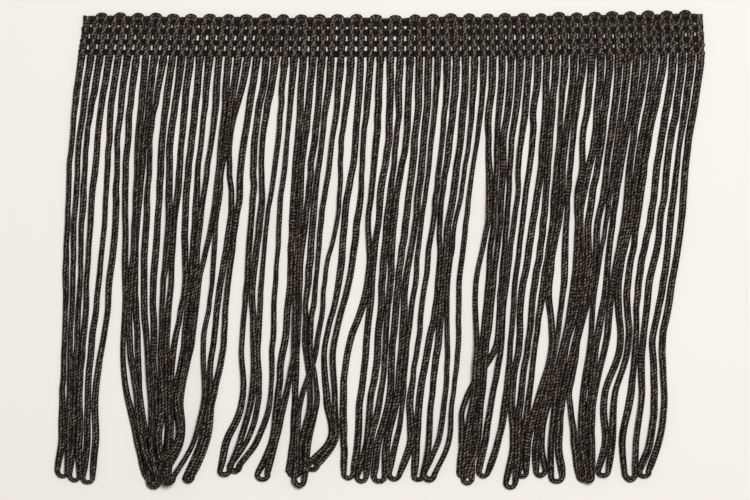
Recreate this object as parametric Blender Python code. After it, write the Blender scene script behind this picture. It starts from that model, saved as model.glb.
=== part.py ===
"""Looped fringe trim: a stitched heading with a row of long cord loops, lying flat on a surface.

The heading runs along X and the loops point to -Y. The underside is at Z = 0, and the origin is
the middle of the heading's flat back. All sizes are in metres.
"""
import math
from collections import namedtuple

import bmesh
import bpy
import numpy as np

MM = 0.001

# Cord
CORD_PITCH = 2.95 * MM          # from cord to cord along the heading
CORD_SIDE = 1.6 * MM            # width and height of one cord
CORD_GAP = 0.3 * MM             # least space between two cords
TURN_WIDTH = 2.5 * MM           # from leg to leg where a loop turns back

# Heading
ROW_PITCH = 3.34 * MM           # from one row of chain stitches to the next
ROWS = 4                        # the lowest row is the strip that the loops grow from
STITCH_TOP = 2.6 * MM           # height of a stitch at its crown
STITCH_FOOT = 1.9 * MM          # height of the row between two stitches
ROW_VALLEY = 1.5 * MM           # height between two rows
EDGE_HEIGHT = 1.3 * MM          # height at the band's edges
EDGE_MARGIN = 1.4 * MM          # from a row's middle to the band's edge beyond it
STITCH_SLANT = 0.35 * MM        # sideways lean of a stitch, from its foot to its crown
PICOT_RISE = 1.1 * MM           # how far the turned cord stands out of the top edge
PARTING = 0.3 * MM              # between the heading and the strip below it
ROOT_DEPTH = 1.2 * MM           # how deep a cord is held in the strip

# How the heading is stretched. At these cords: how far it stands to the right of an even spacing, in
# millimetres, and how far it leans to the right for each millimetre up from its lower edge.
Stretch = namedtuple("Stretch", "cord shift lean")
STRETCH = (
    Stretch(0, 0.30, 0.155),
    Stretch(6, 0.25, 0.13),
    Stretch(12, -0.25, 0.10),
    Stretch(18, 0.25, 0.07),
    Stretch(27, 0.35, 0.02),
    Stretch(31, 1.15, 0.00),
    Stretch(35, 2.00, 0.00),
    Stretch(39, 2.05, -0.02),
    Stretch(45, 1.90, -0.04),
    Stretch(53, 1.30, -0.05),
    Stretch(61, 0.50, -0.05),
)

# How far below the heading the courses of the cords are given
LEVELS = tuple(drop * MM for drop in (26, 51, 76, 93, 110, 125))
TURN_LEVEL = 131 * MM           # below this the legs run straight down to their turn

# One row for each loop, from left to right. left and right: how far each leg has swung along X
# from its even place in the heading, at each of the levels. end: the same for the turn's middle.
# drop: the loop's length below the heading. All in millimetres.
Loop = namedtuple("Loop", "left right end drop")
LOOPS = (
    Loop((-2.7, -4.3, -4.9, -5.4, -5.9, -6.5), (-3.4, -5.0, -5.6, -6.2, -6.6, -7.4), -7.3, 135.2),
    Loop((-3.9, -5.5, -6.3, -7.3, -7.9, -8.4), (-3.5, -5.6, -7.0, -8.3, -9.3, -9.3), -9.4, 136.5),
    Loop((-2.8, -4.1, -6.3, -8.2, -9.7, -10.0), (-3.0, -3.6, -5.9, -8.1, -10.4, -9.9), -11.1, 137.1),
    Loop((-2.8, -3.7, -3.4, -4.2, -2.3, 0.7), (-2.0, -3.2, -4.8, -4.8, -2.7, -1.1), 1.5, 136.8),
    Loop((-3.1, -5.2, -6.1, -5.3, -4.5, -2.6), (-4.0, -5.6, -6.4, -5.7, -3.8, -4.1), -1.8, 138.4),
    Loop((-3.4, -4.7, -6.3, -6.1, -5.3, -5.6), (-3.8, -4.1, -6.3, -7.0, -6.8, -7.1), -6.5, 136.2),
    Loop((-3.1, -5.2, -6.9, -7.9, -8.4, -8.7), (-2.8, -5.1, -5.1, -9.1, -9.9, -10.3), -11.4, 135.2),
    Loop((-2.6, -5.0, -6.7, -8.5, -11.4, -12.0), (-2.3, -5.7, -8.3, -10.2, -12.9, -13.7), -15.7, 136.2),
    Loop((-2.1, -5.1, -9.9, -11.7, -14.6, -15.4), (-3.6, -6.5, -9.0, -11.1, -10.9, -14.9), -20.4, 137.1),
    Loop((-5.3, -5.3, -9.1, -11.2, -12.5, -15.5), (-3.7, -6.3, -9.5, -10.5, -14.0, -16.4), -20.2, 136.8),
    Loop((-3.2, -4.3, -6.4, -7.5, -7.2, -12.6), (-3.7, -4.4, -7.1, -6.6, -7.6, -11.7), -14.2, 134.6),
    Loop((-1.7, -5.1, -7.2, -8.4, -8.0, -12.8), (-1.8, -4.4, -5.8, -6.4, -7.4, -12.7), -15.6, 133.6),
    Loop((-1.4, -3.2, -4.3, -6.2, -8.1, -10.2), (-2.1, -3.9, -5.2, -5.6, -8.8, -12.0), -14.2, 136.2),
    Loop((-2.0, -4.9, -7.0, -7.5, -8.4, -9.4), (-2.4, -5.2, -7.6, -7.9, -6.3, -9.5), -9.9, 134.9),
    Loop((-2.0, -5.5, -7.8, -9.5, -7.0, -10.3), (-2.1, -3.4, -8.4, -10.0, -15.2, -16.8), -14.2, 138.1),
    Loop((-0.4, -4.1, -6.7, -10.7, -9.9, -10.0), (-1.0, -2.7, -6.6, -10.6, -10.2, -11.7), -13.8, 133.0),
    Loop((0.2, -2.2, -3.1, -8.7, -10.3, -10.2), (1.0, -2.4, -4.5, -6.1, -8.3, -8.8), -10.4, 135.8),
    Loop((0.6, -2.0, -4.2, -5.2, -7.4, -9.2), (0.8, -3.2, -4.8, -5.9, -7.7, -11.2), -12.1, 136.8),
    Loop((0.6, -2.1, -5.2, -6.6, -7.6, -11.3), (0.7, -1.9, -5.7, -6.4, -8.4, -11.5), -12.3, 136.8),
    Loop((0.3, -2.9, -5.7, -7.7, -9.2, -11.4), (0.4, -2.4, -5.6, -7.3, -9.7, -10.2), -13.4, 136.2),
    Loop((0.0, -3.1, -4.0, -7.1, -9.6, -10.9), (0.4, -3.0, -5.4, -6.7, -8.8, -9.9), -11.6, 136.2),
    Loop((0.4, -3.6, -6.8, -6.8, -7.7, -10.4), (0.1, -3.6, -6.2, -6.2, -8.1, -9.5), -13.0, 136.2),
    Loop((0.4, 0.4, -3.7, -3.1, -4.7, -6.6), (0.2, -0.6, -3.1, -4.7, -6.2, -7.9), -7.7, 137.4),
    Loop((-0.2, -1.6, -4.2, -6.2, -7.7, -9.3), (-0.6, -2.3, -4.6, -5.9, -15.8, -17.2), -14.9, 135.2),
    Loop((-0.6, -2.9, -5.9, -7.2, -10.2, -13.0), (-0.2, -3.3, -6.1, -7.1, -8.9, -11.4), -14.4, 135.2),
    Loop((0.2, -2.6, -6.4, -7.8, -9.9, -9.6), (-0.5, -2.1, -5.8, -7.7, -10.0, -10.9), -11.7, 138.7),
    Loop((-0.6, -2.5, -5.9, -8.0, -10.2, -12.4), (-1.5, -3.3, -6.9, -6.1, -10.3, -13.8), -13.8, 135.2),
    Loop((-2.0, -4.0, -5.2, -7.5, -11.5, -14.0), (-1.5, -3.4, -5.0, -8.7, -12.5, -15.1), -13.9, 134.9),
    Loop((-0.9, -5.4, -5.6, -10.0, -13.7, -15.5), (-1.5, -5.6, -6.9, -11.6, -14.9, -15.9), -14.1, 136.8),
    Loop((-1.7, -5.2, -8.3, -12.4, -15.1, -13.2), (-2.3, -6.1, -9.6, -11.6, -13.6, -13.8), -12.0, 136.5),
    Loop((-3.0, -7.0, -9.5, -12.3, -14.3, -15.3), (-3.5, -6.1, -10.4, -12.5, -16.2, -16.8), -16.3, 136.8),
    Loop((-3.5, -7.0, -11.3, -10.7, -15.5, -15.5), (-4.3, -7.8, -11.2, -10.9, -15.4, -16.3), -17.4, 134.9),
    Loop((-3.1, -6.8, -10.8, -11.6, -13.3, -15.9), (-3.0, -6.1, -10.2, -12.3, -12.5, -14.7), -14.7, 136.2),
    Loop((-3.1, -5.7, -9.2, -11.9, -11.3, -13.3), (-3.2, -5.7, -8.9, -11.8, -11.3, -13.2), -16.1, 135.2),
)

CORDS = 2 * len(LOOPS)
ROW_Y = tuple((0.5 * (ROWS - 1) - row) * ROW_PITCH for row in range(ROWS))
HEADING_LOW = ROW_Y[-1] - EDGE_MARGIN
STRIP_TOP = 0.5 * (ROW_Y[-1] + ROW_Y[-2] - PARTING)

FRINGE_MATERIAL = ("black_cord", (0.045, 0.036, 0.030, 1.0), 0.55)
HEADING_MATERIAL = ("black_chain_stitch", (0.040, 0.033, 0.028, 1.0), 0.60)


def clear_scene():
    for item in list(bpy.data.objects):
        bpy.data.objects.remove(item, do_unlink=True)


def make_material(name, colour, roughness):
    material = bpy.data.materials.new(name)
    material.use_nodes = True
    shader = material.node_tree.nodes["Principled BSDF"]
    shader.inputs["Base Color"].default_value = colour
    shader.inputs["Roughness"].default_value = roughness
    shader.inputs["Metallic"].default_value = 0.0
    material.diffuse_color = colour
    return material


def even_x(cord):
    """Place of a cord in an evenly spaced heading. Half a cord further on is between two cords."""
    return (cord - 0.5 * (CORDS - 1)) * CORD_PITCH


def heading_x(cord, y):
    """Place of a cord in the heading as it is stretched, at a place across the heading."""
    given = [row.cord for row in STRETCH]
    shift = np.interp(cord, given, [row.shift for row in STRETCH]) * MM
    lean = np.interp(cord, given, [row.lean for row in STRETCH])
    return even_x(cord) + shift + lean * (y - HEADING_LOW)


def spread(places, least):
    """Shift places sideways by as little as possible, until neighbours are at least this far apart."""
    groups = []
    for index, place in enumerate(places):
        groups.append([place - index * least, 1])
        while len(groups) > 1 and groups[-2][0] * groups[-1][1] > groups[-1][0] * groups[-2][1]:
            total, count = groups.pop()
            groups[-1][0] += total
            groups[-1][1] += count
    shifted = []
    for total, count in groups:
        shifted += [total / count] * count
    return [place + index * least for index, place in enumerate(shifted)]


def cord_courses():
    """The points of each cord from its root to the level of the turns, as one list for each cord."""
    least = CORD_SIDE + CORD_GAP
    rows = [(-ROOT_DEPTH, [heading_x(index, HEADING_LOW + ROOT_DEPTH) for index in range(CORDS)])]
    for level, drop in enumerate(LEVELS):
        places = []
        for number, loop in enumerate(LOOPS):
            places.append(even_x(2 * number) + loop.left[level] * MM)
            places.append(even_x(2 * number + 1) + loop.right[level] * MM)
        rows.append((drop, spread(places, least)))
    places = []
    for number, loop in enumerate(LOOPS):
        middle = even_x(2 * number + 0.5) + loop.end * MM
        places += [middle - 0.5 * TURN_WIDTH, middle + 0.5 * TURN_WIDTH]
    rows.append((TURN_LEVEL, spread(places, least)))
    courses = []
    for index in range(CORDS):
        corners = [(places[index], HEADING_LOW - drop) for drop, places in rows]
        courses.append(round_corners(corners))
    return courses


def round_corners(points):
    """Cut each corner of a line into two, a quarter of the way along the stretches beside it."""
    rounded = [points[0]]
    for before, corner, after in zip(points, points[1:], points[2:]):
        rounded.append(tuple(0.75 * c + 0.25 * b for c, b in zip(corner, before)))
        rounded.append(tuple(0.75 * c + 0.25 * a for c, a in zip(corner, after)))
    rounded.append(points[-1])
    return rounded


def loop_points(left, right, drop):
    """One loop's middle line: down the left leg, round the turn and up the right leg."""
    radius = 0.5 * (right[-1][0] - left[-1][0])
    middle = 0.5 * (right[-1][0] + left[-1][0])
    centre_y = HEADING_LOW - drop + 0.5 * CORD_SIDE + radius
    steps = 4
    turn = []
    for step in range(steps + 1):
        angle = math.pi * (1.0 + step / steps)
        turn.append((middle + radius * math.cos(angle), centre_y + radius * math.sin(angle)))
    return left + turn + right[::-1]


def tube_mesh(name, points):
    """A square tube along a level line, resting on Z = 0, as a mesh."""
    curve = bpy.data.curves.new(name, "CURVE")
    curve.dimensions = "3D"
    curve.twist_mode = "Z_UP"
    curve.fill_mode = "FULL"
    curve.use_fill_caps = True
    curve.bevel_resolution = 0
    curve.bevel_depth = CORD_SIDE / math.sqrt(2.0)
    spline = curve.splines.new("POLY")
    spline.points.add(len(points) - 1)
    for point, (x, y) in zip(spline.points, points):
        point.co = (x, y, 0.5 * CORD_SIDE, 1.0)
        point.tilt = math.radians(45.0)
    guide = bpy.data.objects.new(name, curve)
    bpy.context.scene.collection.objects.link(guide)
    evaluated = guide.evaluated_get(bpy.context.evaluated_depsgraph_get())
    mesh = bpy.data.meshes.new_from_object(evaluated)
    bpy.data.objects.remove(guide, do_unlink=True)
    bpy.data.curves.remove(curve)
    return mesh


def loops_object():
    """All the loops as one mesh of separate tubes."""
    shape = bmesh.new()
    courses = cord_courses()
    for number, loop in enumerate(LOOPS):
        points = loop_points(courses[2 * number], courses[2 * number + 1], loop.drop * MM)
        tube = tube_mesh("loop_guide", points)
        shape.from_mesh(tube)
        bpy.data.meshes.remove(tube)
    bmesh.ops.remove_doubles(shape, verts=shape.verts, dist=0.01 * MM)
    bmesh.ops.recalc_face_normals(shape, faces=shape.faces)
    mesh = bpy.data.meshes.new("loops")
    shape.to_mesh(mesh)
    shape.free()
    return bpy.data.objects.new("loops", mesh)


def stitch_height(cord, y):
    """Height of the band's face: a crown over each cord in each row, lower between them."""
    row_middle = min(ROW_Y, key=lambda middle: abs(middle - y))
    across = (y - row_middle) / ROW_PITCH
    along = cord - 2.0 * STITCH_SLANT / CORD_PITCH * across
    crown = 0.5 + 0.5 * math.cos(2.0 * math.pi * along)
    row = 0.5 + 0.5 * math.cos(2.0 * math.pi * across)
    ridge = STITCH_FOOT + (STITCH_TOP - STITCH_FOOT) * crown
    return ROW_VALLEY + (ridge - ROW_VALLEY) * row


def picot(cord):
    """How far the top edge stands out, where the cord turns over from each odd cord to the next."""
    crest = 1.5
    return PICOT_RISE * (0.5 + 0.5 * math.cos(math.pi * (cord - crest)))


def band_object(name, lines, picots):
    """A band with a flat back and stitches raised in the points of its face.

    lines are the places of its rows of points across the heading, from the lowest up.
    """
    shape = bmesh.new()
    bmesh.ops.create_grid(shape, x_segments=2 * CORDS, y_segments=len(lines) - 1, size=1.0)
    for vert in shape.verts:
        cord = 0.5 * (vert.co.x + 1.0) * CORDS - 0.5
        line = round(0.5 * (vert.co.y + 1.0) * (len(lines) - 1))
        at_top = line == len(lines) - 1
        at_edge = vert.is_boundary
        y = lines[line] + (picot(cord) if picots and at_top else 0.0)
        vert.co = (heading_x(cord, y), y, EDGE_HEIGHT if at_edge else stitch_height(cord, y))
    rim = [edge for edge in shape.edges if edge.is_boundary]
    walls = bmesh.ops.extrude_edge_only(shape, edges=rim)["geom"]
    for vert in walls:
        if isinstance(vert, bmesh.types.BMVert):
            vert.co.z = 0.0
    foot = [edge for edge in walls if isinstance(edge, bmesh.types.BMEdge) and edge.is_boundary]
    bmesh.ops.edgeloop_fill(shape, edges=foot)
    bmesh.ops.recalc_face_normals(shape, faces=shape.faces)
    mesh = bpy.data.meshes.new(name)
    shape.to_mesh(mesh)
    shape.free()
    return bpy.data.objects.new(name, mesh)


def make_heading(parts, material):
    """The upper rows of the heading, with the turned cord along the top edge."""
    lines = [STRIP_TOP + PARTING]
    for row in reversed(range(ROWS - 1)):
        lines += [ROW_Y[row] - 0.25 * ROW_PITCH, ROW_Y[row], ROW_Y[row] + 0.25 * ROW_PITCH]
        lines.append(ROW_Y[row] + 0.5 * ROW_PITCH)
    lines[-1] = ROW_Y[0] + EDGE_MARGIN
    heading = band_object("heading", lines, True)
    heading.data.materials.append(material)
    parts.objects.link(heading)


def make_fringe(parts, cutters, material):
    """The lowest row of the heading as a narrow strip, with all the loops held in it."""
    lowest = ROW_Y[-1]
    lines = [HEADING_LOW, lowest - 0.2 * ROW_PITCH, lowest, lowest + 0.25 * ROW_PITCH, STRIP_TOP]
    fringe = band_object("looped_fringe", lines, False)
    fringe.data.materials.append(material)
    parts.objects.link(fringe)
    loops = loops_object()
    loops.hide_render = True
    loops.display_type = "WIRE"
    cutters.objects.link(loops)
    union = fringe.modifiers.new("hold the loops", "BOOLEAN")
    union.operation = "UNION"
    union.solver = "EXACT"
    union.object = loops


def main():
    clear_scene()
    parts = bpy.data.collections.new("looped_fringe_trim")
    cutters = bpy.data.collections.new("cutters")
    bpy.context.scene.collection.children.link(parts)
    bpy.context.scene.collection.children.link(cutters)
    make_heading(parts, make_material(*HEADING_MATERIAL))
    make_fringe(parts, cutters, make_material(*FRINGE_MATERIAL))


main()
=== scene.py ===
"""Looks of a looped fringe trim that lies face up on a pale floor.

One knitted cord is laid back and forth: up through the heading, over the top edge, and down into a
long loop. Four rows of chain stitches lock the cords side by side. The heading runs along X, the
loops point to -Y and the floor is at Z = 0. All sizes are in metres.
"""
import math
from collections import namedtuple

import bpy
import numpy as np
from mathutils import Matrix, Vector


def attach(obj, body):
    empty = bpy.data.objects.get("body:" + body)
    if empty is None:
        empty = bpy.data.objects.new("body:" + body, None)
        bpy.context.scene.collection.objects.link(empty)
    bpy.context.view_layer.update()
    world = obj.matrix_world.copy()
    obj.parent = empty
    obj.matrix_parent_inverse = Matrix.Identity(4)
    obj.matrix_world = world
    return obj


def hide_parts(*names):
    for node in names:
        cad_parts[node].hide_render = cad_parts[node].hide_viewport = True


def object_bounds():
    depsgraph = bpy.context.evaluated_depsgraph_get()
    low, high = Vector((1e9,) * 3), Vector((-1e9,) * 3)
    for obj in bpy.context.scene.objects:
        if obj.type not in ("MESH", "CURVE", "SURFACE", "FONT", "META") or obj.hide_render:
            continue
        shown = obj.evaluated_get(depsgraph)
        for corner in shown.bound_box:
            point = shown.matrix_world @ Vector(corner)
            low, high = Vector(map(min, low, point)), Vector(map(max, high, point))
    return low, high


MM = 0.001

# Cord
CORD_PITCH = 2.95 * MM          # from cord to cord along the heading
CORD_WIDTH = 2.32 * MM
CORD_HEIGHT = 1.58 * MM
STITCH = 1.05 * MM              # length of one knitted stitch
RINGS_PER_STITCH = 3
RING_STEP = STITCH / RINGS_PER_STITCH
COLUMNS = 6                     # columns of stitches around the cord
SIDES = 2 * COLUMNS
STITCH_RELIEF = 0.045           # how far a stitch stands out, as a share of the cord's radius
GROOVE_RELIEF = 0.10            # how deep the groove between two columns is
CROWDING = 0.85 * MM            # least sideways step between cords that are piled on each other

# Heading
ROWS = 4
ROW_PITCH = 3.34 * MM
ROW_Y = tuple((0.5 * (ROWS - 1) - row) * ROW_PITCH for row in range(ROWS))
EDGE_MARGIN = 1.4 * MM
HEADING_LOW = ROW_Y[-1] - EDGE_MARGIN
HEADING_Z = 1.12 * MM           # height of the cords' middle in the heading
DRAWN_WIDTH = 1.42 * MM         # width of a cord where a chain row draws it in
HELD_WIDTH = 2.43 * MM          # width of a cord between two chain rows
HELD_HEIGHT = 1.45 * MM
DRAWN_HEIGHT = 1.8 * MM
ARCH_FOOT = 4.4 * MM            # where the cord starts to turn over at the top edge
ARCH_RISE = 1.85 * MM
ARCH_SQUARE = 0.85              # under 1 the arch at the top edge is squarer than a half circle
CUT_END = 6.1 * MM              # where the two outermost cords end
SPLIT_Y = ROW_Y[-1] + 0.5 * ROW_PITCH   # the lowest row belongs to the fringe
LEAVING = 3.0 * MM              # over this length a cord bends from the heading's lean to its own
FULL_REACH = 30 * MM            # over this length the cords get from near to far in FULLNESS, and turn
FREE_REACH = 6 * MM             # over this length a cord takes on its free section below the heading
RELAXED = 0.13                  # how much fuller the cords are towards their turns
RELAXED_FROM = 101 * MM         # below the heading
RELAXED_REACH = 22 * MM
TURN_RADIUS = (1.3 * MM, 1.75 * MM)
TURN_POINTED = 0.2              # how far a turn differs from a half circle, squarer or more pointed
TURN_VARIETY = 2.4              # step from loop to loop of the wave that this follows, in radians
ON_EDGE = 0.40                  # the flat cord stands up on its edge in a turn and is this much narrower
EDGE_REACH = 3.4 * MM
FLAT_TURNS = (0.0, 0.0, 0.0, 0.5, -0.5, 1.2)    # angles that a flat cord may be turned by about its line
REST_Z = 0.02 * MM              # lowest point of a cord

# One stitch of the cord, as its material draws it
STITCH_LONG = 1.5 * MM
STITCH_WIDE = 0.76 * MM
STITCH_ANGLE = math.radians(58)   # from straight across the cord
STITCH_SHINE = 1.75               # the higher, the smaller the painted highlight on a stitch
COLUMN_WIDTH = 1.1 * MM
BLACK = (0.0064, 0.0040, 0.0016, 1)

# Chain stitches. above and below: how far the yarn between two cords reaches from its row's middle.
# stroke: how far above the row's middle the loop over a cord has its own middle. In millimetres.
# taper: how soon it thins towards the cords, from 0, not at all, to 1, in an even wave.
ChainRow = namedtuple("ChainRow", "above below stroke taper")
CHAIN_ROWS = (
    ChainRow(1.42, 1.45, 0.45, 0.12),
    ChainRow(1.15, 1.18, 0.15, 0.18),
    ChainRow(0.75, 1.15, -0.10, 0.18),
    ChainRow(0.75, 1.10, -0.05, 0.18),
)
YARN_STEP = 0.25 * MM
YARN_SIDES = 6
UNDER_CORD = 0.42 * MM          # thickness of the chain's yarn where it passes under a cord
STROKE_LENGTH = 1.75 * MM
STROKE_WIDTH = 0.46 * MM
STROKE_STEPS = 9

# How far below the heading the courses of the cords are given
LEVELS = tuple(drop * MM for drop in (26, 51, 76, 93, 110, 125))
COURSE_STEP = 0.5 * MM
SLOW_SWING = (0.16 * MM, 20)    # a cord's random swing: how far, and over how many steps
QUICK_SWING = (0.07 * MM, 8)
SWING_REACH = 12 * MM           # the swing comes in over this length below the heading

# How the heading is stretched: at these cords, how far they stand to the right of an even spacing, in
# millimetres, and how far they lean to the right for each millimetre up the heading
Stretch = namedtuple("Stretch", "cord shift lean")
STRETCH = (
    Stretch(0, 0.30, 0.155),
    Stretch(6, 0.15, 0.15),
    Stretch(12, -0.35, 0.13),
    Stretch(18, 0.20, 0.10),
    Stretch(27, 0.35, 0.04),
    Stretch(31, 1.15, 0.01),
    Stretch(35, 2.00, 0.00),
    Stretch(39, 2.05, -0.02),
    Stretch(45, 1.90, -0.04),
    Stretch(53, 1.30, -0.05),
    Stretch(61, 0.50, -0.05),
    Stretch(67, 0.50, -0.05),
)

# How full the cords are, as a share of their width: in the heading, near it and far from it
Fullness = namedtuple("Fullness", "x held near far")
FULLNESS = (
    Fullness(-98, 0.99, 0.94, 0.87),
    Fullness(-68, 1.01, 0.98, 0.95),
    Fullness(48, 1.01, 1.01, 0.97),
    Fullness(66, 1.07, 1.05, 0.98),
    Fullness(98, 1.09, 1.06, 0.98),
)

# How the heading is bowed as it lies: how far it lies above its straight line, in millimetres
Bow = namedtuple("Bow", "x rise")
BOW = (
    Bow(-98, 0.00),
    Bow(-68, -0.35),
    Bow(-44, -0.65),
    Bow(3, -0.70),
    Bow(27, -0.45),
    Bow(51, -0.10),
    Bow(74, 0.30),
    Bow(90, 0.60),
    Bow(104, 0.70),
)
BOW_FADE = 30 * MM              # the loops take up the bow over this length below the heading

# One row for each loop, from left to right. left and right: how far each leg has swung along X
# from its even place in the heading, at each of the levels. end: the same for the middle of the
# turn. drop: the loop's length below the heading. All in millimetres.
Loop = namedtuple("Loop", "left right end drop")
LOOPS = (
    Loop((-2.7, -4.3, -4.9, -5.4, -5.9, -6.5), (-3.4, -5.0, -5.6, -6.2, -6.6, -7.4), -7.3, 135.2),
    Loop((-3.9, -5.5, -6.3, -7.3, -7.9, -8.4), (-3.5, -5.6, -7.0, -8.3, -9.3, -9.3), -9.4, 136.5),
    Loop((-2.8, -4.1, -6.3, -8.2, -9.7, -10.0), (-3.0, -3.6, -5.9, -8.1, -10.4, -9.9), -11.1, 137.1),
    Loop((-2.8, -3.7, -3.4, -4.2, -2.9, 0.9), (-2.0, -3.2, -4.8, -4.8, -2.5, -0.5), 3.2, 136.5),
    Loop((-3.1, -5.2, -6.1, -5.3, -4.6, -2.3), (-4.0, -5.6, -6.4, -5.7, -3.9, -3.6), -1.8, 138.4),
    Loop((-3.4, -4.7, -6.3, -6.1, -5.9, -5.6), (-3.8, -4.1, -6.3, -7.0, -6.6, -7.5), -6.3, 133.6),
    Loop((-3.1, -5.2, -6.9, -7.9, -8.1, -7.9), (-2.8, -5.1, -5.1, -9.1, -9.6, -10.1), -10.1, 136.2),
    Loop((-2.6, -5.0, -6.7, -8.5, -11.3, -11.3), (-2.3, -5.7, -8.3, -10.2, -13.3, -13.6), -18.7, 133.0),
    Loop((-2.1, -5.1, -9.9, -11.7, -15.1, -15.9), (-3.6, -6.5, -9.0, -11.1, -10.9, -15.0), -20.7, 137.1),
    Loop((-5.3, -5.3, -9.1, -11.2, -12.5, -15.5), (-3.7, -6.3, -9.5, -10.5, -14.0, -16.4), -20.2, 136.8),
    Loop((-3.2, -4.3, -6.4, -7.5, -7.2, -12.6), (-3.7, -4.4, -7.1, -6.6, -7.6, -11.7), -14.6, 134.6),
    Loop((-1.7, -5.1, -7.2, -8.4, -8.0, -12.8), (-1.8, -4.4, -5.8, -6.4, -7.4, -12.7), -17.3, 133.6),
    Loop((-1.4, -3.2, -4.3, -6.2, -8.1, -10.2), (-2.1, -3.9, -5.2, -5.6, -8.8, -12.0), -14.2, 136.2),
    Loop((-2.0, -4.9, -7.0, -7.5, -8.4, -9.4), (-2.4, -5.2, -7.6, -7.9, -6.3, -9.5), -9.9, 134.9),
    Loop((-2.0, -5.5, -7.8, -9.5, -7.0, -10.3), (-2.1, -3.4, -8.4, -10.0, -15.2, -16.8), -14.2, 138.1),
    Loop((-0.4, -4.1, -6.7, -10.7, -9.9, -10.0), (-1.0, -2.7, -6.6, -10.6, -10.2, -11.7), -16.0, 133.0),
    Loop((0.2, -2.2, -3.1, -8.7, -10.3, -10.2), (1.0, -2.4, -4.5, -6.1, -8.3, -8.8), -10.4, 135.8),
    Loop((0.6, -2.0, -4.2, -5.2, -7.4, -9.2), (0.8, -3.2, -4.8, -5.9, -7.7, -11.2), -12.1, 136.8),
    Loop((0.6, -2.1, -5.2, -6.6, -7.6, -11.3), (0.7, -1.9, -5.7, -6.4, -8.4, -11.5), -12.3, 136.8),
    Loop((0.3, -2.9, -5.7, -7.7, -9.2, -11.4), (0.4, -2.4, -5.6, -7.3, -9.7, -10.2), -13.4, 136.2),
    Loop((0.0, -3.1, -4.0, -7.1, -9.6, -10.9), (0.4, -3.0, -5.4, -6.7, -8.8, -9.9), -11.6, 136.2),
    Loop((0.4, -3.6, -6.8, -6.8, -7.7, -10.4), (0.1, -3.6, -6.2, -6.2, -8.1, -9.5), -14.0, 136.2),
    Loop((0.4, 0.4, -3.7, -3.1, -4.7, -6.6), (0.2, -0.6, -3.1, -4.7, -6.2, -7.9), -7.7, 137.4),
    Loop((-0.2, -1.6, -4.2, -6.2, -7.7, -9.3), (-0.6, -2.3, -4.6, -5.9, -15.8, -17.2), -14.9, 135.2),
    Loop((-0.6, -2.9, -5.9, -7.2, -10.2, -13.0), (-0.2, -3.3, -6.1, -7.1, -8.9, -11.4), -14.4, 135.2),
    Loop((0.2, -2.6, -6.4, -7.8, -9.9, -9.6), (-0.5, -2.1, -5.8, -7.7, -10.0, -10.9), -11.7, 138.7),
    Loop((-0.6, -2.5, -5.9, -8.0, -10.2, -12.4), (-1.5, -3.3, -6.9, -5.6, -10.2, -13.9), -13.8, 135.2),
    Loop((-2.0, -4.0, -5.2, -7.7, -11.0, -13.9), (-1.5, -3.4, -5.0, -8.1, -12.5, -15.0), -13.9, 134.9),
    Loop((-0.9, -5.4, -5.6, -9.9, -13.1, -15.0), (-1.5, -5.6, -6.9, -10.3, -14.4, -15.4), -14.6, 136.8),
    Loop((-1.7, -5.2, -8.3, -12.2, -14.9, -13.2), (-2.3, -6.1, -9.6, -11.6, -13.6, -13.8), -12.0, 136.5),
    Loop((-3.0, -7.0, -9.5, -12.3, -14.3, -15.3), (-3.5, -6.1, -10.4, -12.5, -16.2, -16.8), -16.3, 136.8),
    Loop((-3.5, -7.0, -11.3, -10.7, -15.5, -15.5), (-4.3, -7.8, -11.2, -10.9, -15.4, -16.3), -17.4, 134.9),
    Loop((-3.1, -6.8, -10.8, -11.6, -13.3, -15.9), (-3.0, -6.1, -10.2, -12.3, -12.5, -14.7), -14.7, 136.2),
    Loop((-3.1, -5.7, -9.2, -11.9, -11.3, -13.3), (-3.2, -5.7, -8.9, -11.8, -11.3, -13.2), -16.1, 135.2),
)
CORDS = 2 * len(LOOPS)
LOOPS_A_PIECE = 9

# Piling of the cords
CELL = 0.2 * MM
PILE_HEIGHT = 0.72              # a cord that lies on another sinks in by the rest of its height
GROUND_MARGIN = 12 * MM         # around the solids
BRIDGED = 7                     # rings to each side over which a cord bridges a hollow
SMOOTHED = 4                    # rings over which its heights are evened out at last
LIFT_REACH = 9 * MM             # this far below the heading a cord has 37% of its height there left
JOIN_REACH = 7 * MM             # over this length the second leg comes to the first one's height

# Camera, light and floor
VIEW_CENTRE = (-4.86 * MM, -68.6 * MM)
VIEW_WIDTH = 240 * MM
CAMERA_HEIGHT = 1.2
KEY_PLACE = (0.16, 0.14, 1.05)
KEY_SIZE = 0.30
KEY_POWER = 9.5
KEY_COLOUR = (1.0, 0.985, 0.95)
SKY_COLOUR = (1.0, 0.955, 0.88, 1)
SKY_STRENGTH = 0.28
FLOOR_COLOUR = (0.88, 0.865, 0.84, 1)
FLOOR_HALF = 1.5

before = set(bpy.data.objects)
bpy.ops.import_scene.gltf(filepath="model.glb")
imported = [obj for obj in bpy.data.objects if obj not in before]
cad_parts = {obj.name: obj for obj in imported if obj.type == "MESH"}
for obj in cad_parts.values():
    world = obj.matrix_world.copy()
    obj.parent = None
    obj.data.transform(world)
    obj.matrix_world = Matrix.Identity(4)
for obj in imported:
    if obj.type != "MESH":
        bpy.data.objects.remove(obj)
cad_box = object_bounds()
rng = np.random.default_rng(7)


# Courses of the cords

def even_x(index):
    """Place of a cord in an evenly spaced heading."""
    return (index - 0.5 * (CORDS - 1)) * CORD_PITCH


def heading_x(index, y):
    """Place of a cord in the heading as it is stretched, at a height across the heading."""
    cords = [row.cord for row in STRETCH]
    shift = np.interp(index, cords, [row.shift for row in STRETCH]) * MM
    lean = np.interp(index, cords, [row.lean for row in STRETCH])
    return even_x(index) + shift + lean * (y - HEADING_LOW)


def eased(share):
    """A share from 0 to 1 that starts and ends slowly."""
    return share * share * (3 - 2 * share)


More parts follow.
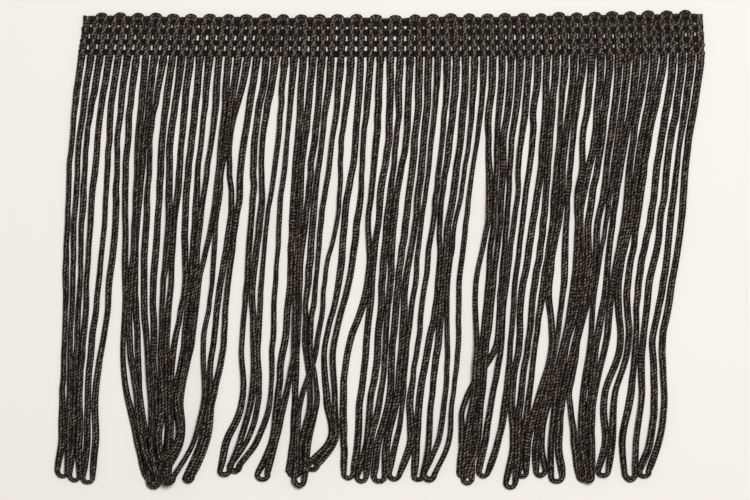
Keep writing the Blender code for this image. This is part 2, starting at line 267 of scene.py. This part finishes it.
def bowed(verts):
    """The vertices moved along Y as the heading is bowed."""
    rise = np.interp(verts[:, 0] / MM, [row.x for row in BOW], [row.rise for row in BOW]) * MM
    share = np.clip(1 - (HEADING_LOW - verts[:, 1]) / BOW_FADE, 0, 1)
    moved = verts.copy()
    moved[:, 1] += rise * eased(share)
    return moved


def spread(places, least):
    """Shift sorted places sideways by as little as possible, until they are at least this far apart."""
    groups = []
    for index, place in enumerate(places):
        groups.append([place - index * least, 1])
        while len(groups) > 1 and groups[-2][0] * groups[-1][1] > groups[-1][0] * groups[-2][1]:
            total, count = groups.pop()
            groups[-1][0] += total
            groups[-1][1] += count
    shifted = []
    for total, count in groups:
        shifted += [total / count] * count
    return [place + index * least for index, place in enumerate(shifted)]


def level_places():
    """For each level, the place of every cord. Cords may cross from one level to the next."""
    rows = []
    for level in range(len(LEVELS)):
        places = []
        for number, loop in enumerate(LOOPS):
            places.append(even_x(2 * number) + loop.left[level] * MM)
            places.append(even_x(2 * number + 1) + loop.right[level] * MM)
        order = np.argsort(places, kind="stable")
        row = np.empty(CORDS)
        row[order] = spread([places[index] for index in order], CROWDING)
        rows.append(row)
    return rows


def through(stations, values, at):
    """Values of a smooth curve that runs through the given ones."""
    stations = np.asarray(stations)
    values = np.asarray(values)
    slopes = np.gradient(values, stations)
    span = np.clip(np.searchsorted(stations, at, side="right") - 1, 0, len(stations) - 2)
    width = stations[span + 1] - stations[span]
    t = (at - stations[span]) / width
    start = values[span] * (1 + 2 * t) * (1 - t) ** 2 + slopes[span] * width * t * (1 - t) ** 2
    end = values[span + 1] * t * t * (3 - 2 * t) + slopes[span + 1] * width * t * t * (t - 1)
    return start + end


def lengths_along(points):
    """How far along their line the points lie."""
    return np.concatenate([[0], np.cumsum(np.linalg.norm(np.diff(points, axis=0), axis=1))])


def evenly(points, step):
    """The points again, spaced evenly along their line."""
    points = np.asarray(points, float)
    along = lengths_along(points)
    count = max(2, int(round(along[-1] / step)) + 1)
    at = np.linspace(0, along[-1], count)
    return np.stack([np.interp(at, along, column) for column in points.T], axis=1)


def wander(count, amount, reach):
    """A slow random swing about zero."""
    knots = rng.normal(0, amount, max(4, int(count / reach) + 3))
    return through(np.linspace(0, count, len(knots)), knots, np.arange(count))


# Piling the cords

GROUND_LOW = np.array((cad_box[0].x, cad_box[0].y)) - GROUND_MARGIN
GROUND_SIZE = np.array((cad_box[1].x, cad_box[1].y)) + GROUND_MARGIN - GROUND_LOW
ground = np.zeros(np.ceil(GROUND_SIZE / CELL).astype(int))
REACH = int(0.5 * CORD_WIDTH / CELL)
FOOT_X, FOOT_Y = np.meshgrid(np.arange(-REACH, REACH + 1), np.arange(-REACH, REACH + 1))
FOOT_FAR = np.hypot(FOOT_X, FOOT_Y).ravel() * CELL / (0.5 * CORD_WIDTH)
FOOT_X = FOOT_X.ravel()[FOOT_FAR < 1]
FOOT_Y = FOOT_Y.ravel()[FOOT_FAR < 1]
FOOT_RISE = PILE_HEIGHT * 0.5 * CORD_HEIGHT * np.sqrt(1 - FOOT_FAR[FOOT_FAR < 1] ** 2)


def blur(values, reach):
    """Average each value with its neighbours, with weights that fall away over the reach."""
    offsets = np.arange(-3 * reach, 3 * reach + 1)
    weights = np.exp(-0.5 * (offsets / reach) ** 2)
    padded = np.pad(values, 3 * reach, mode="edge")
    return np.convolve(padded, weights / weights.sum(), mode="valid")


def cells_under(points):
    """The cells of the ground that a cord covers at each point of its line."""
    cells = np.round((points[:, :2] - GROUND_LOW) / CELL).astype(int)
    return cells[:, :1] + FOOT_X, cells[:, 1:] + FOOT_Y


def rest_height(points, lift):
    """Height of a cord's middle where it lies on the floor and on the cords that are there already."""
    x, y = cells_under(points)
    touching = (ground[x, y] + FOOT_RISE).max(axis=1)
    on_floor = 0.5 * CORD_HEIGHT + lift
    height = np.maximum(touching, on_floor)
    padded = np.pad(height, BRIDGED, mode="edge")
    shifts = range(2 * BRIDGED + 1)
    bridged = np.max([padded[shift:shift + len(height)] for shift in shifts], axis=0)
    return np.maximum(blur(bridged, BRIDGED), on_floor)


def stamp(points, height):
    """Add a cord to what later cords lie on."""
    x, y = cells_under(points)
    np.maximum.at(ground, (x, y), height[:, None] + FOOT_RISE)


# The lines of the cords

def leg_line(index, places, turn_x, turn_drop):
    """A leg from the parting in the heading to the start of its turn, as points in plan."""
    root = heading_x(index, HEADING_LOW)
    own_way = root + (places[0][index] - root) * LEAVING / LEVELS[0]
    bent = 0.5 * (own_way + heading_x(index, HEADING_LOW - LEAVING))
    drops = [0.0, LEAVING, *LEVELS, turn_drop]
    xs = [root, bent, *[row[index] for row in places], turn_x]
    at = np.arange(0, turn_drop, COURSE_STEP)
    at = np.append(at, turn_drop)
    course = through(drops, xs, at)
    swing = wander(len(at), *SLOW_SWING) + wander(len(at), *QUICK_SWING)
    course += swing * np.clip(at / SWING_REACH, 0, 1)
    upper = np.linspace(SPLIT_Y, HEADING_LOW, 8)[:-1]
    top = np.stack([heading_x(index, upper), upper], axis=1)
    return np.vstack([top, np.stack([course, HEADING_LOW - at], axis=1)])


def loop_lines():
    """For each loop, its two half lines from the heading to the middle of its turn."""
    places = level_places()
    lines = []
    for number, loop in enumerate(LOOPS):
        middle = 0.5 * (even_x(2 * number) + even_x(2 * number + 1)) + loop.end * MM
        radius = rng.uniform(*TURN_RADIUS)
        crossed = places[-1][2 * number] > places[-1][2 * number + 1]
        side = -1.0 if crossed else 1.0
        turn_drop = loop.drop * MM - 0.5 * CORD_WIDTH * (1 - ON_EDGE) - radius
        power = 1 + TURN_POINTED * math.sin(TURN_VARIETY * number)
        halves = []
        for index, direction in ((2 * number, -side), (2 * number + 1, side)):
            leg = leg_line(index, places, middle + direction * radius, turn_drop)
            angles = np.linspace(0, 0.5 * math.pi, 13)[1:]
            turn = np.stack([
                middle + direction * radius * np.maximum(np.cos(angles), 0) ** power,
                HEADING_LOW - turn_drop - radius * np.sin(angles) ** power,
            ], axis=1)
            halves.append(evenly(np.vstack([leg, turn]), RING_STEP))
        lines.append(halves)
    return lines, places


def settle_loops():
    """The loops' lines with their heights, the lower layer of cords first."""
    lines, places = loop_lines()
    rank = np.argsort(np.argsort(places[-1]))
    order = sorted(range(CORDS), key=lambda index: (rank[index] % 2, rank[index]))
    heights = {}
    for index in order:
        half = lines[index // 2][index % 2]
        below = np.maximum(HEADING_LOW - half[:, 1], 0.0)
        lift = (HEADING_Z - 0.5 * CORD_HEIGHT) * np.exp(-((below / LIFT_REACH) ** 2))
        height = rest_height(half, lift)
        fixed = half[:, 1] > HEADING_LOW
        height[fixed] = HEADING_Z
        other = heights.get(index ^ 1)
        if other is not None:
            join = other[-1]
            far = np.arange(len(height))[::-1] * RING_STEP
            share = eased(np.clip(1 - far / JOIN_REACH, 0, 1))
            height = height * (1 - share) + join * share
        heights[index] = blur(height, SMOOTHED)
        heights[index][fixed] = HEADING_Z
        stamp(half, heights[index])
    whole = []
    for number, (left, right) in enumerate(lines):
        down = np.column_stack([left, heights[2 * number]])
        up = np.column_stack([right, heights[2 * number + 1]])[::-1]
        whole.append(np.vstack([down, up[1:]]))
    return whole


def arch_line(index):
    """A cord up through the heading, over the top edge and down as the next cord."""
    centre = heading_x(index + 0.5, ARCH_FOOT)
    lean = heading_x(index + 0.5, ARCH_FOOT + MM) - centre
    half = 0.5 * (heading_x(index + 1, ARCH_FOOT) - heading_x(index, ARCH_FOOT))
    rise = ARCH_RISE * rng.uniform(0.93, 1.07)
    climb = np.linspace(SPLIT_Y, ARCH_FOOT, 30)[:-1]
    up = np.stack([heading_x(index, climb), climb], axis=1)
    down = np.stack([heading_x(index + 1, climb), climb], axis=1)[::-1]
    angles = np.linspace(math.pi, 0, 17)
    out = half * np.sign(np.cos(angles)) * np.abs(np.cos(angles)) ** ARCH_SQUARE
    up_by = rise * np.sin(angles) ** ARCH_SQUARE
    over = np.stack([centre + out + lean * up_by / MM, ARCH_FOOT + up_by], axis=1)
    plan = evenly(np.vstack([up, over, down]), RING_STEP)
    return np.column_stack([plan, np.full(len(plan), HEADING_Z)])


def end_line(index):
    """One of the two outermost cords, cut off plainly at the top edge."""
    climb = np.linspace(SPLIT_Y, CUT_END, 40)
    plan = evenly(np.stack([heading_x(index, climb), climb], axis=1), RING_STEP)
    return np.column_stack([plan, np.full(len(plan), HEADING_Z)])


# Tubes

Tube = namedtuple("Tube", "verts faces uvs")


def frames(points):
    """For each point of a line, the directions across it: to the side, and up."""
    along = np.gradient(points, axis=0)
    along /= np.linalg.norm(along, axis=1)[:, None]
    side = np.cross(along, (0.0, 0.0, 1.0))
    side /= np.linalg.norm(side, axis=1)[:, None]
    return side, np.cross(side, along)


def tube(points, width, height, turn, radii, around, start=0.0, period=STITCH):
    """A tube with a ring of points at each point of the line.

    width and height are half sizes, turn is the angle of the flat section about the line, and radii
    scales the ring's points.
    """
    side, up = frames(points)
    count, sides = len(points), len(around)
    across = width[:, None] * radii * np.cos(around)
    rise = height[:, None] * radii * np.sin(around)
    sin, cos = np.sin(turn)[:, None], np.cos(turn)[:, None]
    across, rise = across * cos - rise * sin, across * sin + rise * cos
    verts = points[:, None] + across[..., None] * side[:, None] + rise[..., None] * up[:, None]
    ring = np.arange(sides)
    first = (np.arange(count - 1) * sides)[:, None]
    following = (ring + 1) % sides
    corners = (first + ring, first + sides + ring, first + sides + following, first + following)
    walls = np.stack(corners, axis=-1)
    lengths = start + lengths_along(points)
    rows = (lengths / period)[:-1, None] + np.zeros(sides)
    next_rows = (lengths / period)[1:, None] + np.zeros(sides)
    left = np.tile(ring / sides, (count - 1, 1))
    right = np.tile((ring + 1) / sides, (count - 1, 1))
    uvs = np.stack([
        np.stack([left, rows], axis=-1),
        np.stack([left, next_rows], axis=-1),
        np.stack([right, next_rows], axis=-1),
        np.stack([right, rows], axis=-1),
    ], axis=2)
    step = np.arange(sides // 2 - 1)
    cap = np.stack([step, step + 1, sides - 2 - step, sides - 1 - step], axis=-1)
    far_cap = cap[:, ::-1] + (count - 1) * sides
    faces = np.vstack([walls.reshape(-1, 4), cap, far_cap])
    cap_uvs = np.zeros((8 * len(step), 2))
    return Tube(verts.reshape(-1, 3), faces, np.vstack([uvs.reshape(-1, 2), cap_uvs]))


AROUND = 2 * math.pi * np.arange(SIDES) / SIDES
YARN_AROUND = 2 * math.pi * np.arange(YARN_SIDES) / YARN_SIDES


def stitched(count, start):
    """Radii of a knitted cord: columns of stitches, every second one half a stitch further on."""
    row = start / STITCH + np.arange(count)[:, None] / RINGS_PER_STITCH
    column = np.arange(SIDES)[None] // 2
    on_stitch = np.arange(SIDES)[None] % 2 == 0
    phase = (row + 0.5 * (column % 2)) % 1.0
    wave = np.cos(2 * math.pi * (phase - 0.35)) + 0.25 * np.cos(4 * math.pi * (phase - 0.3))
    swell = STITCH_RELIEF * wave
    return np.where(on_stitch, 1.0 + swell, 1.0 - GROOVE_RELIEF + 0.4 * np.roll(swell, 1, axis=1))


def fullness(points, where):
    """The share of their width that the cords fill at these points."""
    places = [row.x for row in FULLNESS]
    return np.interp(points[:, 0] / MM, places, [getattr(row, where) for row in FULLNESS])


def in_heading(points):
    """Half width and half height of the cord in the heading: drawn in and raised at each chain row."""
    nearest = np.min([np.abs(points[:, 1] - row) for row in ROW_Y], axis=0) / (0.5 * ROW_PITCH)
    drawn = (0.5 + 0.5 * np.cos(math.pi * np.clip(nearest, 0, 1))) ** 3
    held = HELD_WIDTH * fullness(points, "held")
    width = held + (DRAWN_WIDTH - held) * drawn
    height = HELD_HEIGHT + (DRAWN_HEIGHT - HELD_HEIGHT) * drawn
    return 0.5 * width * (1 + wander(len(points), 0.075, 5)), 0.5 * height


def cord_tube(points, turned=False):
    """The knitted cord along a line, flat in the heading and turning slowly about itself below it. A
    turned one has its turn halfway."""
    count = len(points)
    start = STITCH * rng.integers(0, 900)
    free = eased(np.clip((HEADING_LOW - points[:, 1]) / FREE_REACH, 0, 1))
    held_width, held_height = in_heading(points)
    near, far = fullness(points, "near"), fullness(points, "far")
    away = np.clip((HEADING_LOW - points[:, 1]) / FULL_REACH, 0, 1)
    slack = np.clip((HEADING_LOW - RELAXED_FROM - points[:, 1]) / RELAXED_REACH, 0, 1)
    relaxed = 1 + RELAXED * eased(slack)
    full = (near + (far - near) * away) * relaxed
    width = held_width * (1 - free) + 0.5 * CORD_WIDTH * full * free
    height = held_height * (1 - free) + 0.5 * CORD_HEIGHT * relaxed * free
    width = width * (1 + wander(count, 0.03, 24))
    if turned:
        from_turn = np.abs(np.arange(count) - 0.5 * count) * RING_STEP
        on_edge = ON_EDGE * np.exp(-((from_turn / EDGE_REACH) ** 2))
        width = width * (1 - on_edge)
        height = height * (1 + 0.5 * on_edge)
    turn = (rng.choice(FLAT_TURNS) + wander(count, 0.45, 110)) * away
    flat = np.sqrt((width * np.sin(turn)) ** 2 + (height * np.cos(turn)) ** 2)
    raised = points.copy()
    raised[:, 2] += (flat - 0.5 * CORD_HEIGHT) * free
    made = tube(raised, width, height, turn, stitched(count, start), AROUND, start)
    made.verts[:, 2] = np.maximum(made.verts[:, 2], REST_Z)
    return made


# Chain stitches

def chain_tubes(row):
    """One row of chain stitches: three yarns that swell between the cords and pass under them, and a
    short loop that lies along each cord and holds it down."""
    y_row = ROW_Y[row]
    chain = CHAIN_ROWS[row]
    reach = (chain.above + chain.below) * MM
    middle = y_row + 0.5 * (chain.above - chain.below) * MM
    xs = np.arange(heading_x(-0.45, y_row), heading_x(CORDS - 0.55, y_row), YARN_STEP)
    cords = np.array([heading_x(index, y_row) for index in range(-1, CORDS + 1)])
    place = np.interp(xs, cords, np.arange(-1, CORDS + 1))
    between = (0.5 - 0.5 * np.cos(2 * math.pi * place)) ** chain.taper
    wave = np.sin(math.pi * place)
    swing = np.sign(wave) * np.abs(wave) ** (2 * chain.taper)
    uneven = 1 + wander(len(xs), 0.10, 12)
    plain = np.ones((len(xs), 1))
    upright = np.zeros(len(xs))
    tubes = []
    for side, share in ((1.0, 0.40), (-1.0, 0.40), (0.0, 0.30)):
        thick = share * reach * uneven
        y = middle + side * 0.5 * (reach * uneven - thick) * swing + wander(len(xs), 0.03 * MM, 9)
        half_width = 0.5 * (UNDER_CORD + (thick - UNDER_CORD) * between)
        half_height = np.minimum(half_width, 0.5 * UNDER_CORD + 0.28 * MM * between)
        z = half_height + (0.42 + 0.10 * side * np.sign(swing)) * MM * between
        line = np.stack([xs, y, z], axis=1)
        tubes.append(tube(line, half_width, half_height, upright, plain, YARN_AROUND))
    return tubes + [stroke_tube(index, y_row + chain.stroke * MM) for index in range(CORDS)]


def stroke_tube(index, y_middle):
    """The short loop of yarn that lies along a cord at a chain row, thick in its middle."""
    share = np.linspace(-1, 1, STROKE_STEPS)
    length = STROKE_LENGTH * rng.uniform(0.85, 1.1)
    y = y_middle + 0.5 * length * share + rng.normal(0, 0.06) * MM
    slant = rng.normal(0.10, 0.10) * MM * share
    bend = rng.normal(0, 0.07) * MM * (1 - share ** 2)
    z = HEADING_Z + 0.5 * DRAWN_HEIGHT - (0.10 + 0.32 * share ** 2) * MM
    line = np.stack([heading_x(index, y) + slant + bend, y, z], axis=1)
    full = np.sqrt(np.maximum(1 - np.abs(share) ** 2.2, 0.03))
    width = 0.5 * STROKE_WIDTH * rng.uniform(0.85, 1.12) * full
    plain = np.ones((STROKE_STEPS, 1))
    return tube(line, width, 0.8 * width, np.zeros(STROKE_STEPS), plain, YARN_AROUND)


# Meshes

def mesh_object(name, tubes, material):
    """Closed tubes joined into one object with its stitches as texture coordinates."""
    verts, faces, uvs, base = [], [], [], 0
    for part in tubes:
        verts.append(part.verts)
        faces.append(part.faces + base)
        uvs.append(part.uvs)
        base += len(part.verts)
    all_verts = bowed(np.vstack(verts))
    all_faces = np.vstack(faces)
    mesh = bpy.data.meshes.new(name)
    mesh.vertices.add(len(all_verts))
    mesh.vertices.foreach_set("co", all_verts.astype(np.float32).ravel())
    mesh.loops.add(4 * len(all_faces))
    mesh.loops.foreach_set("vertex_index", all_faces.astype(np.int32).ravel())
    mesh.polygons.add(len(all_faces))
    mesh.polygons.foreach_set("loop_start", np.arange(0, 4 * len(all_faces), 4, dtype=np.int32))
    mesh.update(calc_edges=True)
    layer = mesh.uv_layers.new(name="stitches")
    layer.data.foreach_set("uv", np.vstack(uvs).astype(np.float32).ravel())
    mesh.shade_smooth()
    mesh.materials.append(material)
    made = bpy.data.objects.new(name, mesh)
    bpy.context.scene.collection.objects.link(made)
    return made


# Materials

def node(tree, kind, **settings):
    made = tree.nodes.new(kind)
    for name, value in settings.items():
        setattr(made, name, value)
    return made


def maths(tree, operation, first, second=None, clamp=False):
    made = node(tree, "ShaderNodeMath", operation=operation, use_clamp=clamp)
    for socket, value in zip(made.inputs, (first, second)):
        if value is None:
            continue
        if isinstance(value, (int, float)):
            socket.default_value = value
        else:
            tree.links.new(value, socket)
    return made.outputs[0]


def scaled(tree, value, less, times, clamp=False):
    """The value less a number, times another."""
    return maths(tree, "MULTIPLY", maths(tree, "SUBTRACT", value, less), times, clamp=clamp)


def shaded(tree, light, least, value, amount):
    """The light times a least share and, on top of it, an amount of the value."""
    share = maths(tree, "ADD", least, maths(tree, "MULTIPLY", value, amount))
    return maths(tree, "MULTIPLY", light, share)


def noise(tree, coordinates, scale, detail):
    made = node(tree, "ShaderNodeTexNoise")
    made.inputs["Scale"].default_value = scale
    made.inputs["Detail"].default_value = detail
    tree.links.new(coordinates, made.inputs["Vector"])
    return made.outputs[0]


def oval(tree, first, second):
    """1 in the middle of an oval and 0 at its edge, from the shares of its two half lengths."""
    squares = [maths(tree, "MULTIPLY", share, share) for share in (first, second)]
    return maths(tree, "SUBTRACT", 1.0, maths(tree, "ADD", *squares), clamp=True)


def new_material(name):
    """A material with its node tree and its shader."""
    material = bpy.data.materials.new(name)
    material.use_nodes = True
    tree = material.node_tree
    return material, tree, tree.nodes["Principled BSDF"]


def cord_material():
    """Black knitted cord: slanted stitches in six columns. In some stretches the cord shows its other
    face, where the stitches lie straight across like rungs."""
    material, tree, shader = new_material("black_knitted_cord")
    uv = node(tree, "ShaderNodeUVMap", uv_map="stitches")
    parts = node(tree, "ShaderNodeSeparateXYZ")
    tree.links.new(uv.outputs[0], parts.inputs[0])
    coordinates = node(tree, "ShaderNodeTexCoord").outputs["Object"]
    stretch = node(tree, "ShaderNodeCombineXYZ")
    tree.links.new(maths(tree, "MULTIPLY", parts.outputs[1], 0.055), stretch.inputs[0])
    face = noise(tree, stretch.outputs[0], 1.0, 0.0)
    slanted = scaled(tree, face, 0.27, 8.0, clamp=True)

    columns = maths(tree, "ADD", maths(tree, "MULTIPLY", parts.outputs[0], float(COLUMNS)), 0.5)
    column = maths(tree, "MODULO", maths(tree, "FLOOR", columns), float(COLUMNS))
    across = maths(tree, "SUBTRACT", maths(tree, "FRACT", columns), 0.5)
    odd = maths(tree, "MODULO", column, 2.0)
    stagger = maths(tree, "MULTIPLY", odd, maths(tree, "MULTIPLY", slanted, 0.5))
    row = maths(tree, "ADD", maths(tree, "ADD", parts.outputs[1], stagger), 0.15)
    cell = node(tree, "ShaderNodeCombineXYZ")
    tree.links.new(column, cell.inputs[0])
    tree.links.new(maths(tree, "FLOOR", row), cell.inputs[1])
    chance = node(tree, "ShaderNodeTexWhiteNoise")
    tree.links.new(cell.outputs[0], chance.inputs["Vector"])
    chances = node(tree, "ShaderNodeSeparateColor")
    tree.links.new(chance.outputs["Color"], chances.inputs[0])
    out_of_place = scaled(tree, chances.outputs[0], 0.5, 0.30)
    along = maths(tree, "SUBTRACT", maths(tree, "ADD", maths(tree, "FRACT", row), out_of_place), 0.5)
    rung = oval(tree, maths(tree, "MULTIPLY", across, 1.2), maths(tree, "MULTIPLY", along, 2.4))
    aside = scaled(tree, chances.outputs[1], 0.5, 0.35)
    side = maths(tree, "MULTIPLY", maths(tree, "ADD", across, aside), COLUMN_WIDTH / STITCH)
    steep_sin, steep_cos = math.sin(STITCH_ANGLE), math.cos(STITCH_ANGLE)
    lengthwise = maths(tree, "SUBTRACT", maths(tree, "MULTIPLY", side, steep_cos),
                       maths(tree, "MULTIPLY", along, steep_sin))
    crosswise = maths(tree, "ADD", maths(tree, "MULTIPLY", side, steep_sin),
                      maths(tree, "MULTIPLY", along, steep_cos))
    steep = oval(tree, maths(tree, "MULTIPLY", lengthwise, 2 * STITCH / STITCH_LONG),
                 maths(tree, "MULTIPLY", crosswise, 2 * STITCH / STITCH_WIDE))
    full = maths(tree, "ADD", maths(tree, "MULTIPLY", steep, slanted),
                 maths(tree, "MULTIPLY", rung, maths(tree, "SUBTRACT", 0.75, slanted, clamp=True)))

    fibre_place = node(tree, "ShaderNodeCombineXYZ")
    spaced = maths(tree, "ADD", crosswise, maths(tree, "MULTIPLY", column, 3.1))
    tree.links.new(maths(tree, "MULTIPLY", spaced, 9.0), fibre_place.inputs[0])
    tree.links.new(maths(tree, "MULTIPLY", row, 1.3), fibre_place.inputs[1])
    fibres = noise(tree, fibre_place.outputs[0], 1.6, 3.0)
    patches = noise(tree, coordinates, 480.0, 2.0)
    uneven = scaled(tree, patches, 0.22, 1.9)
    # Painted highlight: each stitch's crest is painted lighter than the black cord for the sheen of the
    # satin yarn; patches, fibres and chance vary it at random
    painted_highlight = maths(tree, "POWER", full, STITCH_SHINE)
    light = maths(tree, "MULTIPLY", painted_highlight, maths(tree, "ADD", 0.18, uneven))
    light = shaded(tree, light, 0.55, fibres, 0.9)
    light = shaded(tree, light, 0.45, chances.outputs[2], 1.25)
    # Painted light and shade: the highlights are brighter where the cord faces up, and its sides are
    # painted darker
    facing = node(tree, "ShaderNodeSeparateXYZ")
    tree.links.new(node(tree, "ShaderNodeNewGeometry").outputs["Normal"], facing.inputs[0])
    painted_top_light = maths(tree, "POWER", maths(tree, "MAXIMUM", facing.outputs[2], 0.0), 1.3)
    light = shaded(tree, light, 0.3, painted_top_light, 0.8)
    place = node(tree, "ShaderNodeSeparateXYZ")
    tree.links.new(coordinates, place.inputs[0])
    # the painted highlights are halved on the arches over the top edge
    crest = scaled(tree, place.outputs[1], 5.2 * MM, 1 / MM, clamp=True)
    dimmed = maths(tree, "SUBTRACT", 1.0, maths(tree, "MULTIPLY", crest, 0.5))
    light = maths(tree, "MULTIPLY", light, dimmed)
    # the cord's colour is lifted in the heading by a fibre and patch pattern
    held = scaled(tree, place.outputs[1], HEADING_LOW, 1 / MM, clamp=True)
    heading_lift = maths(tree, "MULTIPLY", maths(tree, "MULTIPLY", held, fibres), 0.16)
    light = maths(tree, "ADD", light, maths(tree, "MULTIPLY", heading_lift, patches))

    # colours of the painted highlights, varied at random; the blend lays them over black
    tint = noise(tree, coordinates, 900.0, 1.0)
    highlight_tints = node(tree, "ShaderNodeValToRGB")
    highlight_tints.color_ramp.elements[0].position = 0.38
    highlight_tints.color_ramp.elements[0].color = (0.175, 0.166, 0.133, 1)
    highlight_tints.color_ramp.elements[1].position = 0.62
    highlight_tints.color_ramp.elements[1].color = (0.226, 0.176, 0.153, 1)
    tree.links.new(tint, highlight_tints.inputs[0])
    blend = node(tree, "ShaderNodeMix", data_type="RGBA")
    blend.inputs[6].default_value = BLACK
    tree.links.new(light, blend.inputs[0])
    tree.links.new(highlight_tints.outputs[0], blend.inputs[7])
    tree.links.new(blend.outputs[2], shader.inputs["Base Color"])
    shader.inputs["Roughness"].default_value = 0.6
    shader.inputs["Specular IOR Level"].default_value = 0.05
    shader.inputs["Sheen Weight"].default_value = 0.01
    shader.inputs["Sheen Roughness"].default_value = 0.4
    bump = node(tree, "ShaderNodeBump")
    bump.inputs["Strength"].default_value = 0.8
    bump.inputs["Distance"].default_value = 0.18 * MM
    relief = maths(tree, "ADD", maths(tree, "SQRT", full), maths(tree, "MULTIPLY", fibres, 0.25))
    tree.links.new(relief, bump.inputs["Height"])
    tree.links.new(bump.outputs[0], shader.inputs["Normal"])
    return material


def yarn_material():
    """Dull black twisted yarn of the chain stitches. It is painted near black as shade where it lies low
    between the cords, and painted lighter as a highlight where it stands up over a cord.
    """
    material, tree, shader = new_material("black_chain_yarn")
    uv = node(tree, "ShaderNodeUVMap", uv_map="stitches")
    parts = node(tree, "ShaderNodeSeparateXYZ")
    tree.links.new(uv.outputs[0], parts.inputs[0])
    turns = maths(tree, "ADD", maths(tree, "MULTIPLY", parts.outputs[0], 3.0),
                  maths(tree, "MULTIPLY", parts.outputs[1], 1.6))
    twist = maths(tree, "SINE", maths(tree, "MULTIPLY", turns, 2 * math.pi))
    plies = maths(tree, "ADD", 0.5, maths(tree, "MULTIPLY", twist, 0.5))
    coordinates = node(tree, "ShaderNodeTexCoord").outputs["Object"]
    fuzz = noise(tree, coordinates, 2600.0, 3.0)
    place = node(tree, "ShaderNodeSeparateXYZ")
    tree.links.new(coordinates, place.inputs[0])
    # Painted light by height: near black as painted shade where the yarn lies low between the cords,
    # lighter as a painted highlight where it stands up over a cord
    raised = scaled(tree, place.outputs[2], 1.35 * MM, 1 / (0.55 * MM), clamp=True)
    light = maths(tree, "MULTIPLY", maths(tree, "ADD", 0.35, plies), maths(tree, "MULTIPLY", fuzz, 1.3))
    light = shaded(tree, light, 0.045, raised, 0.955)
    # the ramp runs from black, the painted shade, to the colour of the painted highlight
    ramp = node(tree, "ShaderNodeValToRGB")
    ramp.color_ramp.elements[0].color = BLACK
    ramp.color_ramp.elements[1].color = (0.355, 0.315, 0.27, 1)
    tree.links.new(light, ramp.inputs[0])
    tree.links.new(ramp.outputs[0], shader.inputs["Base Color"])
    shader.inputs["Roughness"].default_value = 0.7
    shader.inputs["Specular IOR Level"].default_value = 0.05
    bump = node(tree, "ShaderNodeBump")
    bump.inputs["Strength"].default_value = 0.7
    bump.inputs["Distance"].default_value = 0.08 * MM
    tree.links.new(maths(tree, "ADD", plies, fuzz), bump.inputs["Height"])
    tree.links.new(bump.outputs[0], shader.inputs["Normal"])
    return material


# Stage

def add_floor():
    mesh = bpy.data.meshes.new("floor")
    corners = [(x * FLOOR_HALF, y * FLOOR_HALF, 0) for x, y in ((-1, -1), (1, -1), (1, 1), (-1, 1))]
    mesh.from_pydata(corners, [], [(0, 1, 2, 3)])
    material, _, shader = new_material("pale_floor")
    shader.inputs["Base Color"].default_value = FLOOR_COLOUR
    shader.inputs["Roughness"].default_value = 0.9
    mesh.materials.append(material)
    floor = bpy.data.objects.new("floor", mesh)
    bpy.context.scene.collection.objects.link(floor)


def add_light(name, place, size, power, colour):
    data = bpy.data.lights.new(name, "AREA")
    data.size = size
    data.energy = power
    data.color = colour
    light = bpy.data.objects.new(name, data)
    light.location = place
    aim = np.array((*VIEW_CENTRE, 0.0)) - np.array(place)
    light.rotation_euler = (
        math.acos(-aim[2] / np.linalg.norm(aim)),
        0.0,
        math.atan2(aim[1], aim[0]) - 0.5 * math.pi,
    )
    bpy.context.scene.collection.objects.link(light)


def add_camera():
    data = bpy.data.cameras.new("camera")
    data.sensor_width = 36.0
    data.lens = data.sensor_width * CAMERA_HEIGHT / VIEW_WIDTH
    camera = bpy.data.objects.new("camera", data)
    camera.location = (*VIEW_CENTRE, CAMERA_HEIGHT)
    bpy.context.scene.collection.objects.link(camera)
    bpy.context.scene.camera = camera


def add_world():
    world = bpy.data.worlds.new("studio")
    world.use_nodes = True
    background = world.node_tree.nodes["Background"]
    background.inputs[0].default_value = SKY_COLOUR
    background.inputs[1].default_value = SKY_STRENGTH
    bpy.context.scene.world = world
    bpy.context.scene.view_settings.view_transform = "Standard"


add_camera()
add_world()
add_floor()
add_light("key", KEY_PLACE, KEY_SIZE, KEY_POWER, KEY_COLOUR)

cord_look = cord_material()
yarn_look = yarn_material()

whole_loops = settle_loops()
fringe = []
for first in range(0, len(whole_loops), LOOPS_A_PIECE):
    tubes = [cord_tube(line, turned=True) for line in whole_loops[first:first + LOOPS_A_PIECE]]
    fringe.append(mesh_object(f"fringe_loops_{len(fringe) + 1}", tubes, cord_look))
arches = [cord_tube(arch_line(index)) for index in range(1, CORDS - 1, 2)]
arches += [cord_tube(end_line(index)) for index in (0, CORDS - 1)]
heading_cords = mesh_object("heading_cords", arches, cord_look)
upper = [part for row in range(ROWS - 1) for part in chain_tubes(row)]
heading_stitches = mesh_object("heading_chain_stitches", upper, yarn_look)
strip_stitches = mesh_object("strip_chain_stitches", chain_tubes(ROWS - 1), yarn_look)

for piece in fringe:
    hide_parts("looped_fringe")
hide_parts("heading")
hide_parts("heading")
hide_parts("looped_fringe")
for piece in [*fringe, heading_cords, heading_stitches, strip_stitches]:
    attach(piece, "root")
